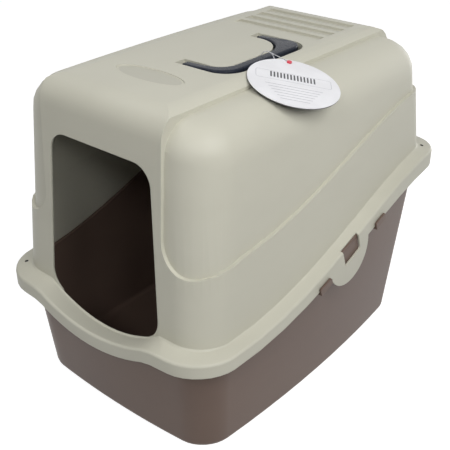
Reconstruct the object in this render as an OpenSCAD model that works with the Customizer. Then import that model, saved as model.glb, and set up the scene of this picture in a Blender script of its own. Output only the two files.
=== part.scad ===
// Hooded cat litter box: a deep pan, a moulded hood that drops over its rim,
// a folding carry handle sunk in the roof and a round hang tag looped on its grip.
// Frame: +Z up, front faces -Y, origin under the middle of the box on the floor.

/* [Rim] */
// Length from the front lip to the rear lip
rim_length = 533; // [450:1:640]
// Width across the rim at mid length, without the hooks
rim_width = 376.3; // [320:0.1:450]
// How far the front lip bows forward of the corners
rim_bow_front = 9.5; // [4:0.5:12]
// How far the rear lip bows back of the corners
rim_bow_rear = 3.5; // [1:0.5:10]
// How far each side bows out from the corners
rim_bow_side = 11.65; // [4:0.05:14]
// Plan radius of the rim's front corners
rim_front_r = 49.5; // [40:0.5:60]
// Plan radius of the rim's rear corners
rim_rear_r = 41; // [40:0.5:60]
// Height of the rim at the front corners
rim_z_front = 159.7; // [120:0.1:200]
// Height of the rim at the rear
rim_z_rear = 260.2; // [200:0.1:300]
// Distance from the front lip to where the rim starts to climb
climb_from_front = 55; // [40:1:90]
// Distance from the rear lip to where the rim is level again
climb_to_rear = 29.5; // [20:0.5:60]
// Depth of the dip in the rim under the doorway
sill_dip = 19.5; // [10:0.5:24]
// Fall of the sill's top face from its lip in to the doorway
sill_fall = 9; // [2:0.5:12]
// Half width of that dip
sill_half_w = 94.8; // [80:0.1:105]

/* [Hood] */
// Height of the roof above the floor
roof_z = 428.4; // [380:0.1:520]
// Wall thickness of the hood
hood_wall = 2.5; // [1.8:0.1:3.5]
// Height of the skirt at the front
skirt_front = 18.1; // [14:0.1:24]
// Height of the skirt at the rear
skirt_rear = 23.3; // [16:0.1:30]
// Radius of the rim's outer edge
rim_edge_r = 3.5; // [3:0.5:8]
// Rise of the rim's top face from its edge to the foot of the wall
rim_top_rise = 3.1; // [0:0.1:5]
// Rim width at the sides, from the skirt to the foot of the wall
foot_side = 16.7; // [14:0.1:22]
// Rim width at the front
foot_front = 18.3; // [15:0.1:24]
// Rim width at the rear
foot_rear = 18.8; // [15:0.1:24]
// Plan radius of the wall's front corners at its foot
foot_front_r = 42; // [30:0.5:50]
// Plan radius of the wall's rear corners at its foot
foot_rear_r = 37; // [30:0.5:50]
// Inward lean of the side walls from foot to shoulder
lean_side = 5.5; // [2:0.1:14]
// Backward lean of the front wall
lean_front = 13; // [6:0.1:20]
// Forward lean of the rear wall
lean_rear = 19.4; // [8:0.1:26]
// Plan radius of the wall's front corners at the shoulder
top_front_r = 60; // [45:0.5:70]
// Plan radius of the wall's rear corners at the shoulder
top_rear_r = 40; // [40:0.5:70]
// Bow of the side walls at the shoulder
top_bow_side = 6; // [0:0.5:10]
// Radius from the front wall on to the roof
roof_front_r = 32; // [20:0.5:45]
// Radius from the rear wall on to the roof
roof_rear_r = 44; // [20:0.5:55]
// Half width of the proud band over the front, roof and rear
band_half_w = 96.5; // [80:0.5:110]
// Half width of the flat middle of the roof
crown_half_w = 76; // [60:0.5:90]
// Radius of the roof's edge beside that flat
crown_r = 35; // [25:1:60]
// Depth of the side panels below the proud faces
panel_depth = 4.5; // [3:0.1:7]
// Radius of the side panels' shoulder
shoulder_r = 46; // [30:0.5:60]
// Radius from the side panels' front on to their shoulder
panel_front_r = 38; // [30:0.5:50]
// Radius from the side panels' rear on to their shoulder
panel_rear_r = 38; // [30:0.5:60]
// Lowest point of the side panels, at the front corners
panel_low_z = 249.5; // [225:0.5:290]
// Distance from the rim's ends to the ends of the panels' lower edge
sweep_inset = 76; // [60:1:90]
// Height of the panels' lower edge where its sweep starts, at the front
sweep_front_z = 262; // [240:0.5:300]
// Length of the lead-in from the front turn to the sweep
sweep_lead = 14.5; // [8:0.5:18]
// Rise of that lead-in
sweep_lead_rise = 8.6; // [4:0.1:9]
// Height of the panels' lower edge where its sweep ends, at the rear
sweep_rear_z = 350; // [310:0.5:360]
// Reach of the sweep's level start
sweep_front_reach = 150; // [80:1:200]
// Reach of the sweep's level end
sweep_rear_reach = 150; // [80:1:200]
// Radius of the turn at the panels' lower front corner
panel_turn_r = 37; // [20:0.5:50]

// Rise of the panels' lower edge at the start of its sweep, in degrees
sweep_front_rise = 4; // [0:0.5:15]
// Rise of the panels' lower edge at the end of its sweep, in degrees
sweep_rear_rise = 6; // [0:0.5:15]

/* [Doorway] */
// Height of the doorway's top edge
door_top_z = 366.8; // [330:0.1:380]
// Half width of the doorway at its top
door_top_half_w = 81.5; // [60:0.1:84]
// Half width of the doorway at its foot
door_foot_half_w = 95; // [70:0.1:96]
// Radius of the doorway's top corners
door_top_r = 26; // [10:0.5:40]
// Radius of the doorway's lower corners
door_foot_r = 10; // [4:0.5:14]

/* [Roof details] */
// Middle of the oval pad, along Y
oval_y = -146; // [-160:1:-130]
// Length of the oval pad across the roof
oval_length = 101; // [60:1:130]
// Width of the oval pad
oval_width = 31; // [20:1:36]
// Depth of the oval pad
oval_depth = 1; // [0.6:0.1:1.4]
// Number of wedge grooves at the rear of the roof
groove_count = 4; // [2:1:4]
// Distance from one groove to the next
groove_pitch = 23.9; // [20:0.1:26]
// Y of the first groove's riser
groove_first_y = 106; // [98:0.5:110]
// Width of one groove, front to rear
groove_width = 18; // [10:0.5:19]
// Half length of the grooves
groove_half_l = 68.8; // [50:0.1:74]
// Depth of the grooves at their riser
groove_depth = 3.2; // [1.5:0.1:4]
// Radius of the two small holes in the rim's ears
ear_hole_r = 2.2; // [1.5:0.1:3]
// Distance of each ear hole from the rim's end
ear_hole_from_end = 34.5; // [30:0.5:45]
// X of the front ear hole, on the left
ear_hole_front_x = 156; // [150:0.5:160]
// X of the rear ear hole, on the right
ear_hole_rear_x = 162; // [155:0.5:165]

/* [Latches] */
// Y of the middle of the snap tabs
tab_y = 12; // [-20:1:30]
// Radius of the snap tabs' lobe
tab_r = 44; // [32:0.5:52]
// Drop of the lobe's centre below the rim's top edge
tab_drop = 15; // [8:0.5:20]
// Width of the slot in the tab, along the rim
slot_width = 36; // [24:0.5:44]
// Drop of the slot's lower edge below the rim's top edge
slot_drop = 26; // [22:0.5:32]
// How far the slot reaches in over the rim's top face
slot_reach = 5; // [3:0.5:7]
// Height of the catch's ridge below the rim's top edge
catch_ridge_drop = 7; // [5:0.5:12]
// Gap between the catch and the slot's ends
catch_side_gap = 1.2; // [0.5:0.1:3]
// Gap between the catch's face and the inside of the tab
catch_gap = 0.7; // [0.5:0.1:1]
// Length of each hook, along the rim
hook_length = 24; // [15:0.5:30]
// Y of the middle of the front hooks
hook_front_y = -42; // [-70:0.5:-42]
// Y of the middle of the rear hooks
hook_rear_y = 81.5; // [75:0.5:110]
// Height of a hook above the skirt's lower edge
hook_height = 7; // [4:0.5:12]
// Thickness of the hooks
hook_wall = 2.6; // [2:0.1:4]
// Gap between a hook and the skirt
hook_gap = 1; // [0.5:0.1:2]

/* [Pan] */
// Wall thickness of the pan
pan_wall = 2.6; // [2:0.1:4]
// Distance from the front lip back to the pan's bottom edge
pan_toe_front = 35.5; // [25:0.5:60]
// Distance from the rear lip forward to the pan's bottom edge
pan_toe_rear = 53; // [25:0.1:90]
// Distance from the rim's side in to the pan's bottom edge
pan_toe_side = 27; // [20:0.1:45]
// Plan radius of the pan's front corners at the bottom
pan_front_r = 37; // [25:0.5:50]
// Plan radius of the pan's rear corners at the bottom
pan_rear_r = 26; // [20:0.5:45]
// Bow of the pan's bottom edge at the sides
pan_bow_side = 12; // [2:0.5:12]
// Bow of the pan's bottom edge at the front and rear
pan_bow_end = 8.7; // [1:0.1:10]
// Radius of the pan's bottom edge
pan_foot_r = 9; // [5:0.5:14]
// Rim gap between the hood and the pan under it
rim_gap = 0.6; // [0.3:0.1:1]
// Gap between the skirt and the pan's lip inside it
lip_gap = 0.8; // [0.4:0.1:2]
// Depth of the pan's down-turned lip
lip_depth = 10; // [6:0.5:14]

/* [Handle] */
// Distance between the middles of the two arms
handle_span = 139; // [110:1:150]
// Y of the middle of the handle
handle_y = -17; // [-25:1:0]
// Distance from the pivot line to the outside of the grip
handle_reach = 69; // [60:1:72]
// X of the pivot line
pivot_x = 4; // [0:0.5:10]
// Depth of the pivot line below the roof
pivot_depth = 7; // [6:0.5:10]
// Width of the arms
arm_width = 12; // [8:0.5:16]
// Width of the grip
grip_width = 19; // [12:0.5:20]
// Thickness of the handle
handle_thick = 9.5; // [7:0.5:12]
// Height of the handle's top above the roof
handle_proud = 1.5; // [0:0.1:3]
// Outer corner radius of the handle
handle_corner_r = 24; // [16:0.5:30]
// Inner corner radius of the handle
handle_inner_r = 14; // [8:0.5:18]
// Length over which the arms dip to their pivots
arm_dip = 45; // [20:1:46]
// Gap round the arms in the recess
recess_gap = 3; // [2:0.5:5]
// Extra room outside the grip for the fingers
finger_room = 8; // [4:0.5:12]
// How far the recess runs on beyond the pivot line
recess_tail = 21; // [12:0.5:26]
// Depth of the recess
recess_depth = 15.5; // [15:0.5:18]
// Radius of the sockets' bosses
boss_r = 6; // [4.5:0.1:7]
// Depth of the sockets
socket_depth = 5; // [4:0.5:6]
// Radius of the arms' round ends
knuckle_r = 5; // [4:0.1:5.5]
// Radius of the pivot pins
pin_r = 2.8; // [2:0.1:3.5]
// Radial running clearance of the pins
pin_clearance = 0.06; // [0.02:0.01:0.1]
// Length of the pivot pins
pin_length = 6; // [4:0.5:8]

/* [Tag] */
// Diameter of the tag
tag_d = 108.4; // [80:0.1:112]
// Thickness of the tag's card
tag_thick = 0.8; // [0.6:0.1:1.2]
// Thickness of the leaf behind the card
leaf_thick = 0.5; // [0.3:0.1:0.8]
// Gap between the card and its leaf
leaf_gap = 0.3; // [0.3:0.1:0.6]
// X of the middle of the tag
tag_x = 125; // [120:0.5:130]
// Y of the middle of the tag
tag_y = -39; // [-50:0.5:-30]
// Tilt of the tag down towards the side
tag_tilt = 14.3; // [8:0.1:18]
// Gap between the leaf and the roof's edge under it
tag_gap = 1; // [1:0.1:2]
// Radius of the tag's punched hole
tag_hole_r = 1.6; // [1.3:0.1:2]
// Distance of the hole's middle from the tag's edge
tag_hole_inset = 7; // [5:0.5:10]
// Direction of the hole from the tag's middle
tag_hole_angle = 134; // [125:1:145]
// Radius of the loop's thread
thread_r = 0.5; // [0.4:0.1:0.8]
// Y of the loop on the grip
loop_y = -7; // [-15:0.5:0]
// Gap between the loop and the grip's corners
loop_gap = 0.4; // [0.3:0.1:1]
// Radius of the button that ends the loop
button_r = 3; // [2.5:0.1:4]
// Thickness of that button
button_thick = 1.4; // [1:0.1:2]
// Radius of the stem through the tag's hole
stem_r = 0.9; // [0.6:0.1:1]
// Thickness of the stem's foot
foot_thick = 0.6; // [0.4:0.1:0.6]

/* [Hidden] */

corner_steps = 8;
side_steps = 10;
end_steps = 20;
arc_fn = 48;
far = 400; // longer than any cut needs to be
eps = 0.01;

hood_colour = [0.75, 0.74, 0.68];
pan_colour = [0.44, 0.39, 0.36];
handle_colour = [0.25, 0.26, 0.31];
tag_colour = [0.94, 0.94, 0.95];
leaf_colour = [0.2, 0.2, 0.22];
thread_colour = [0.85, 0.85, 0.88];

// The rim's straight outline, before its sides bow out
rim_hw = rim_width / 2 - rim_bow_side;
rim_yf = -rim_length / 2 + rim_bow_front;
rim_yr = rim_length / 2 - rim_bow_rear;
climb_y0 = -rim_length / 2 + climb_from_front;
climb_y1 = rim_length / 2 - climb_to_rear;

// ---- Outlines and lofts ----

function mix(a, b, s) = a + (b - a) * s;
function steps(a, b, n) = [for (i = [0 : n]) mix(a, b, i / n)];
function on_arc(x, y, r, angle) = [x + r * cos(angle), y + r * sin(angle)];
function total(list, i = 0) = i < len(list) ? list[i] + total(list, i + 1) : 0;
function average(points) = [for (k = [0 : 2]) total([for (p = points) p[k]]) / len(points)];

// A rounded rectangle, anticlockwise from its front left, always with the same number of points.
// size is [half width, front, rear] and radii is [front corners, rear corners].
function corner_arc(x, y, r, from) = [
    for (i = [1 : corner_steps - 1]) on_arc(x, y, r, from + 90 * i / corner_steps)
];
function plain_ring(size, radii) =
    let (w = size[0], f = size[1], b = size[2], rf = radii[0], rb = radii[1])
    concat(
        [for (x = steps(-w + rf, w - rf, end_steps)) [x, f]],
        corner_arc(w - rf, f + rf, rf, -90),
        [for (y = steps(f + rf, b - rb, side_steps)) [w, y]],
        corner_arc(w - rb, b - rb, rb, 0),
        [for (x = steps(w - rb, -w + rb, end_steps)) [x, b]],
        corner_arc(-w + rb, b - rb, rb, 90),
        [for (y = steps(b - rb, f + rf, side_steps)) [-w, y]],
        corner_arc(-w + rf, f + rf, rf, 180)
    );

// How far each point of a ring belongs to the front or rear, rather than to a side
away = [for (i = [1 : corner_steps - 1]) pow(cos(90 * i / corner_steps), 2)];
back = [for (i = [1 : corner_steps - 1]) pow(sin(90 * i / corner_steps), 2)];
end_run = [for (i = [0 : end_steps]) 1];
side_run = [for (i = [0 : side_steps]) 0];
end_weight = concat(end_run, away, side_run, back, end_run, away, side_run, back);

// The same ring with its sides, front and rear bowed outwards
function ring(size, radii, bow_side = 0, bow_front = 0, bow_rear = 0) = [
    for (p = plain_ring(size, radii))
        let (along = (2 * p[1] - size[1] - size[2]) / (size[2] - size[1]))
        let (across = p[0] / size[0])
        let (bow_end = along > 0 ? bow_rear : bow_front)
        [p[0] + across * bow_side * (1 - along * along), p[1] + along * bow_end * (1 - across * across)]
];

// Closed solid through rows of points, all of one length, from its lower cap to its upper one
module loft(rows) {
    n = len(rows[0]);
    m = len(rows);
    walls = [
        for (j = [0 : m - 2], i = [0 : n - 1])
            let (a = j * n + i, b = j * n + (i + 1) % n)
            each [[a, a + n, b], [b, a + n, b + n]]
    ];
    first_cap = [for (i = [0 : n - 1]) [m * n, i, (i + 1) % n]];
    last_cap = [for (i = [0 : n - 1]) [m * n + 1, (m - 1) * n + (i + 1) % n, (m - 1) * n + i]];
    points = concat([for (row = rows) each row], [average(rows[0]), average(rows[m - 1])]);
    polyhedron(points, concat(walls, first_cap, last_cap));
}

// ---- The parting line that the hood and the pan share ----

function climb(y) = 0.5 - 0.5 * cos(180 * min(max((y - climb_y0) / (climb_y1 - climb_y0), 0), 1));
function rim_z(y) = mix(rim_z_front, rim_z_rear, climb(y));
function skirt_h(y) = mix(skirt_front, skirt_rear, climb(y));
function dip(x) = max(0, 1 - pow(x / sill_half_w, 2));
function at_front(p) = p[1] < climb_y0 ? 1 : 0;
rim_slope = atan((rim_z(tab_y + 1) - rim_z(tab_y - 1)) / 2);

function rim_ring(d) = ring(
    [rim_hw - d, rim_yf + d, rim_yr - d], [rim_front_r - d, rim_rear_r - d],
    rim_bow_side, rim_bow_front, rim_bow_rear
);
function foot_ring(d) = ring(
    [rim_hw - foot_side - d, rim_yf + foot_front + d, rim_yr - foot_rear - d],
    [foot_front_r - d, foot_rear_r - d], rim_bow_side
);
function shoulder_ring(d) = ring(
    [rim_hw - foot_side - lean_side - d, rim_yf + foot_front + lean_front + d, rim_yr - foot_rear - lean_rear - d],
    [top_front_r - d, top_rear_r - d], top_bow_side
);

// A ring's points at a height above or below the parting line; fall lowers the sill's inner edge
function on_rim(points, dz, fall = 0) = [
    for (p = points) [p[0], p[1], rim_z(p[1]) + dz - at_front(p) * (sill_dip + fall) * dip(p[0])]
];
function under_skirt(points, dz) = [for (p = on_rim(points, dz)) [p[0], p[1], p[2] - skirt_h(p[1])]];

// ---- Hood ----

foot_fillet = 2;
wall_top_z = roof_z - roof_front_r;
panel_roof_z = roof_z - crown_r + sqrt(crown_r * crown_r - pow(band_half_w - crown_half_w, 2)) - panel_depth;

// A point of the wall, d inside its face, at height z: the wall is straight from foot to shoulder
function foot_z(p) = rim_z(p[1]) + rim_top_rise + foot_fillet;
function wall_row(d, z) = let (low = foot_ring(d), high = shoulder_ring(d)) [
    for (i = [0 : len(low) - 1])
        let (s = (z[i] - foot_z(low[i])) / (wall_top_z - foot_z(low[i])))
        [mix(low[i][0], high[i][0], s), mix(low[i][1], high[i][1], s), z[i]]
];
function share_z(d, s) = [for (p = foot_ring(d)) mix(foot_z(p), wall_top_z, s)];

// Rows that round the top over; edge is the radius at the sides, the front and the rear
function top_rows(d, edge, top_z) =
    let (ring_y = [for (p = shoulder_ring(d)) p[1]])
    let (radii = [
        for (i = [0 : len(ring_y) - 1]) mix(edge[0], ring_y[i] < 0 ? edge[1] : edge[2], end_weight[i]) - d
    ])
    let (start = wall_row(d, [for (r = radii) top_z - d - r]))
    let (w = max([for (p = start) p[0]]) - top_bow_side - edge[0] + d)
    let (f = min([for (p = start) p[1]]) + edge[1] - d)
    let (b = max([for (p = start) p[1]]) - edge[2] + d)
    let (flat = ring([w, f, b], [max(top_front_r - edge[1], 12), max(top_rear_r - edge[2], 12)], top_bow_side))
    [
        for (angle = [0 : 15 : 90]) [
            for (i = [0 : len(start) - 1])
                let (s = 1 - cos(angle))
                [
                    mix(start[i][0], flat[i][0], s),
                    mix(start[i][1], flat[i][1], s),
                    start[i][2] + radii[i] * sin(angle)
                ]
        ]
    ];

// The rim, from the skirt's lower edge to the foot of the wall, d inside its face
function rim_rows(d) =
    let (r = rim_edge_r - d)
    [
        under_skirt(rim_ring(d), d > 0 ? -2 * d : 0),
        on_rim(rim_ring(d), -rim_edge_r),
        on_rim(rim_ring(rim_edge_r - r * cos(30)), r * sin(30) - rim_edge_r),
        on_rim(rim_ring(rim_edge_r - r * cos(60)), r * sin(60) - rim_edge_r),
        on_rim(rim_ring(rim_edge_r), -d),
        on_rim(foot_ring(d - foot_fillet), rim_top_rise - d, sill_fall),
        on_rim(foot_ring(d), rim_top_rise + foot_fillet, sill_fall)
    ];

// Body with the proud faces
module proud_body(d) {
    intersection() {
        loft(concat(
            rim_rows(d), [wall_row(d, share_z(d, 0.25))],
            top_rows(d, [roof_front_r, roof_front_r, roof_rear_r], roof_z)
        ));
        rotate([90, 0, 0])
            linear_extrude(2 * far, center = true)
                crown_section(d);
    }
}

// Section of the roof: flat in the middle, rounded down beside the band's edges
module crown_section(d) {
    intersection() {
        translate([-far, 0])
            square([2 * far, roof_z - d]);
        union() {
            translate([-far, 0])
                square([2 * far, roof_z - crown_r]);
            translate([-crown_half_w, 0])
                square([2 * crown_half_w, far + roof_z]);
            for (side = [-1, 1])
                translate([side * crown_half_w, roof_z - crown_r])
                    circle(crown_r - d, $fn = 96);
        }
    }
}

// Body with the side panels' faces
module panel_body(d) {
    inset = panel_depth + d;
    edge = [shoulder_r + panel_depth, panel_front_r + panel_depth, panel_rear_r + panel_depth];
    loft(concat([wall_row(inset, share_z(inset, 0.12))], top_rows(inset, edge, panel_roof_z + panel_depth)));
}

// Lower edge of the side panels, seen from the side
function sweep_point(t) =
    let (p0 = [-rim_length / 2 + sweep_inset, sweep_front_z])
    let (p3 = [rim_length / 2 - sweep_inset, sweep_rear_z])
    let (p1 = p0 + sweep_front_reach * [1, sin(sweep_front_rise)])
    let (p2 = p3 - sweep_rear_reach * [1, sin(sweep_rear_rise)])
    pow(1 - t, 3) * p0 + 3 * pow(1 - t, 2) * t * p1 + 3 * (1 - t) * t * t * p2 + t * t * t * p3;

// Room in which the side panels lie, grown by g: beyond the band's edges, above the sweep at
// the sides and above a round turn at the front and at the rear
module panel_room(g) {
    y0 = -rim_length / 2 + sweep_inset - sweep_lead;
    y1 = rim_length / 2 - sweep_inset;
    front_rise = panel_low_z + panel_turn_r - sweep_front_z + sweep_lead_rise;
    front_reach = sqrt(panel_turn_r * panel_turn_r - front_rise * front_rise);
    lead = [for (s = steps(0, 0.8, 4)) [y0 + s * sweep_lead, sweep_front_z - g - sweep_lead_rise * pow(1 - s, 2)]];
    sweep = concat(lead, [for (t = steps(0, 1, 24)) sweep_point(t) - [0, g]]);
    translate([0, y0 + eps, 0])
        rotate([90, 0, 0])
            linear_extrude(far)
                panel_end_section(g, panel_low_z, front_reach);
    translate([0, y1 + far - eps, 0])
        rotate([90, 0, 0])
            linear_extrude(far)
                panel_end_section(g, sweep_rear_z, 0);
    for (side = [0, 1])
        mirror([side, 0, 0])
            translate([band_half_w - g, 0, 0])
                rotate([90, 0, 90])
                    linear_extrude(far)
                        polygon(concat(sweep, [[y1, 2 * far], [y0, 2 * far]]));
}

// That room seen from an end: its side's lower edge lies where the round turn has reached
module panel_end_section(g, low_z, reach) {
    turn_x = band_half_w + panel_turn_r;
    turn_z = low_z + panel_turn_r;
    side_z = turn_z - sqrt(panel_turn_r * panel_turn_r - reach * reach);
    for (side = [0, 1])
        mirror([side, 0]) {
            translate([band_half_w - g, turn_z])
                square([far, far]);
            translate([turn_x + reach, side_z - g])
                square([far, far]);
            translate([turn_x, turn_z])
                circle(panel_turn_r + g, $fn = 96);
        }
}

// The hood's outside form without its openings, d inside its faces
module hood_form(d) {
    difference() {
        proud_body(d);
        panel_room(d);
    }
    panel_body(d);
}

// Outline of the doorway, seen from the front
module door_outline() {
    low_z = rim_z_front - sill_dip - sill_fall;
    sill_curve = [for (x = steps(-sill_half_w, sill_half_w, 24)) [x, door_sill_z(x)]];
    lean = (door_foot_half_w - door_top_half_w) / (door_top_z - rim_z_front);
    offset(r = door_foot_r)
        offset(delta = -door_foot_r)
            difference() {
                hull() {
                    for (side = [-1, 1])
                        translate([side * (door_top_half_w - door_top_r), door_top_z - door_top_r])
                            circle(door_top_r, $fn = arc_fn);
                    translate([-door_foot_half_w - lean * 40, low_z - 40])
                        square([2 * door_foot_half_w + lean * 80, 1]);
                }
                polygon(concat([[-far, 0], [-far, door_sill_z(far)]], sill_curve, [[far, door_sill_z(far)], [far, 0]]));
            }
}
function door_sill_z(x) = rim_z_front + rim_top_rise - (sill_dip + sill_fall) * dip(x) - 2 * hood_wall;

// The doorway's prism, from the foot of the front wall back by length
module door_prism(length) {
    translate([0, rim_yf + foot_front - eps, 0])
        rotate([-90, 0, 0])
            mirror([0, 1])
                linear_extrude(length)
                    children();
}

// ---- Roof details ----

// A slab from x0 to x1 with its far corners rounded, centred on the handle
module rounded_slab(x0, x1, width, r) {
    translate([x0, handle_y - width / 2])
        square([x1 - r - x0, width]);
    translate([x0, handle_y - width / 2 + r])
        square([x1 - x0, width - 2 * r]);
    for (side = [-1, 1])
        translate([x1 - r, handle_y + side * (width / 2 - r)])
            circle(r, $fn = arc_fn);
}

// Room for the handle, grown by g, that leaves the roof standing inside the bail
module recess(g) {
    outer_x = pivot_x + handle_reach;
    wide = handle_span + arm_width + 2 * recess_gap;
    inside = handle_span - arm_width - 2 * recess_gap;
    translate([0, 0, roof_z - recess_depth - g])
        linear_extrude(recess_depth + g + (g > 0 ? -eps : far))
            difference() {
                rounded_slab(pivot_x - recess_tail - g, outer_x + finger_room + g, wide + 2 * g, handle_corner_r + 6 + g);
                rounded_slab(-far, outer_x - grip_width - recess_gap - g, inside - 2 * g, handle_inner_r - recess_gap);
            }
}

// Wedges that deepen towards the rear, each up to its riser
module groove_cuts() {
    for (i = [0 : groove_count - 1])
        translate([0, groove_first_y + i * groove_pitch, roof_z])
            rotate([90, 0, 90])
                linear_extrude(2 * groove_half_l, center = true)
                    polygon([[-groove_width, 1], [-groove_width, 0], [0, -groove_depth], [0, 1]]);
}

// Stock under the grooves
module groove_backing() {
    last_y = groove_first_y + (groove_count - 1) * groove_pitch;
    low = groove_depth + hood_wall;
    translate([-groove_half_l - hood_wall, groove_first_y - groove_width - hood_wall, roof_z - low])
        cube([2 * (groove_half_l + hood_wall), last_y - groove_first_y + groove_width + 2 * hood_wall, low - 0.5]);
}

// Oval seen from above, sunk into the roof's front
module oval_cut() {
    translate([0, oval_y, roof_z - oval_depth])
        linear_extrude(far) {
            square([oval_length - oval_width, oval_width], center = true);
            for (side = [-1, 1])
                translate([side * (oval_length - oval_width) / 2, 0])
                    circle(oval_width / 2, $fn = arc_fn);
        }
}

// ---- Latches at both sides ----

// Upright layer that follows the rim, from d0 to d1 inside its face
module rim_layer(d0, d1) {
    linear_extrude(roof_z)
        difference() {
            polygon([for (p = rim_ring(d0)) [p[0], p[1]]]);
            polygon([for (p = rim_ring(d1)) [p[0], p[1]]]);
        }
}

// Outline drawn in the plane of the sides, carried right across the box
module across() {
    rotate([90, 0, 90])
        linear_extrude(2 * far, center = true)
            children();
}

// Places its children on the rim's top edge at the tab, level with the slope, at both sides
module at_tabs() {
    for (side = [0, 1])
        mirror([side, 0, 0])
            translate([rim_width / 2, tab_y, rim_z(tab_y)])
                rotate([rim_slope, 0, 0])
                    children();
}

// Round lobe that hangs from the skirt
module tab_lobes() {
    under_edge = [
        for (y = steps(tab_y - tab_r - 8, tab_y + tab_r + 8, 16)) [y, rim_z(y) - rim_edge_r]
    ];
    intersection() {
        rim_layer(0, hood_wall);
        across()
            intersection() {
                translate([tab_y, rim_z(tab_y) - tab_drop])
                    circle(tab_r, $fn = 96);
                polygon(concat([[under_edge[0][0], 0]], under_edge, [[under_edge[16][0], 0]]));
            }
    }
}

// Slot through the lobe, over the rim's edge and a little way in
module tab_slots() {
    r = 3;
    at_tabs()
        translate([-slot_reach, 0, 0])
            rotate([90, 0, 90])
                linear_extrude(far)
                    hull() {
                        for (side = [-1, 1])
                            translate([side * (slot_width / 2 - r), r - slot_drop])
                                circle(r, $fn = 24);
                        translate([-slot_width / 2, 0])
                            square([slot_width, rim_edge_r]);
                    }
}

// Block under the pan's flange that fills the slot from behind
module catches() {
    face = -hood_wall - catch_gap;
    root = -slot_reach - 4;
    low_z = -slot_drop - 2;
    at_tabs()
        rotate([90, 0, 0])
            linear_extrude(slot_width - 2 * catch_side_gap, center = true)
                polygon([[root, flange_drop], [face, -catch_ridge_drop], [face, low_z], [root, low_z]]);
}

// Hooks seen from the side, up to a height above the skirt's lower edge
module hook_outlines(top, r) {
    low_z = -hook_gap - hook_wall;
    for (y = [hook_front_y, hook_rear_y])
        translate([y, rim_z(y) - skirt_h(y)])
            rotate(atan((rim_z(y + 1) - rim_z(y - 1)) / 2))
                hull() {
                    for (side = [-1, 1])
                        translate([side * (hook_length / 2 - r), top - r])
                            circle(r, $fn = 24);
                    translate([-hook_length / 2, low_z])
                        square([hook_length, 1]);
                }
}

// Arm under the skirt and plate in front of it
module hooks() {
    intersection() {
        rim_layer(-hook_gap - hook_wall, -hook_gap);
        across()
            hook_outlines(hook_height, 3);
    }
    intersection() {
        rim_layer(-hook_gap - hook_wall, foot_side + 2);
        across()
            hook_outlines(-hook_gap, 0.5);
    }
}

// ---- Pan ----

flange_drop = -hood_wall - rim_gap;
lip_d = hood_wall + lip_gap;

function toe_ring(d) = ring(
    [
        rim_width / 2 - pan_toe_side - pan_bow_side - d,
        -rim_length / 2 + pan_toe_front + pan_bow_end + d,
        rim_length / 2 - pan_toe_rear - pan_bow_end - d
    ],
    [pan_front_r - d, pan_rear_r - d], pan_bow_side, pan_bow_end, pan_bow_end
);

// The pan's wall, d inside its face, straight from its toe to the flange; z is one height for all
function pan_row(d, z) = let (low = toe_ring(d), high = on_rim(foot_ring(d - 0.5), flange_drop, sill_fall)) [
    for (i = [0 : len(low) - 1])
        let (s = z / high[i][2])
        [mix(low[i][0], high[i][0], s), mix(low[i][1], high[i][1], s), z]
];
function pan_top_row(d, dz) = on_rim(foot_ring(d - 0.5), rim_top_rise + flange_drop + dz, sill_fall);

// One closed cup: up the outside, out under the flange, over its lip, back in and down the inside
module pan_cup() {
    inner_r = pan_foot_r - pan_wall;
    edge = max(rim_edge_r - lip_d, 1);
    loft(concat(
        [
            for (a = [0 : 22.5 : 90]) pan_row(pan_foot_r * (1 - sin(a)), pan_foot_r * (1 - cos(a)))
        ],
        [
            pan_top_row(0, -pan_wall - 2),
            pan_top_row(-2, -pan_wall),
            on_rim(rim_ring(rim_edge_r + pan_wall), flange_drop - pan_wall),
            on_rim(rim_ring(lip_d + pan_wall), flange_drop - edge - pan_wall),
            on_rim(rim_ring(lip_d + pan_wall), flange_drop - lip_depth),
            on_rim(rim_ring(lip_d), flange_drop - lip_depth),
            on_rim(rim_ring(lip_d), flange_drop - edge),
            on_rim(rim_ring(lip_d + edge), flange_drop),
            pan_top_row(0.5, 0),
            pan_top_row(pan_wall, -2)
        ],
        [
            for (a = [90 : -22.5 : 0])
                pan_row(pan_wall + inner_r * (1 - sin(a)), pan_wall + inner_r * (1 - cos(a)))
        ]
    ));
}

module pan() {
    color(pan_colour)
        union() {
            pan_cup();
            catches();
            hooks();
        }
}

// ---- Hood ----

// Everything of the hood but its round holes
module hood_shell() {
    difference() {
        union() {
            difference() {
                hood_form(0);
                difference() {
                    hood_form(hood_wall);
                    recess(hood_wall);
                    groove_backing();
                }
                door_prism(40)
                    door_outline();
            }
            tab_lobes();
        }
        recess(0);
        groove_cuts();
        oval_cut();
        tab_slots();
    }
}

// Places its children on the pivot line where the recess ends, pointing outwards
module at_pivots(offset) {
    for (side = [-1, 1])
        translate([pivot_x, handle_y + side * (handle_span / 2 + offset), roof_z - pivot_depth])
            rotate([-side * 90, 0, 0])
                children();
}

module hood() {
    socket_from = arm_width / 2 + recess_gap;
    color(hood_colour)
        difference() {
            union() {
                hood_shell();
                at_pivots(socket_from + 0.5)
                    cylinder(h = socket_depth + 1, r = boss_r, $fn = arc_fn);
            }
            at_pivots(socket_from - 1)
                cylinder(h = socket_depth + 1, r = pin_r + pin_clearance, $fn = arc_fn);
            translate([-ear_hole_front_x, ear_hole_from_end - rim_length / 2, rim_z_front - 20])
                cylinder(h = 40, r = ear_hole_r, $fn = arc_fn);
            translate([ear_hole_rear_x, rim_length / 2 - ear_hole_from_end, rim_z_rear - 20])
                cylinder(h = 40, r = ear_hole_r, $fn = arc_fn);
        }
}

// ---- Carry handle ----

grip_z = roof_z + handle_proud - handle_thick / 2;
pivot_z = roof_z - pivot_depth;

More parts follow.
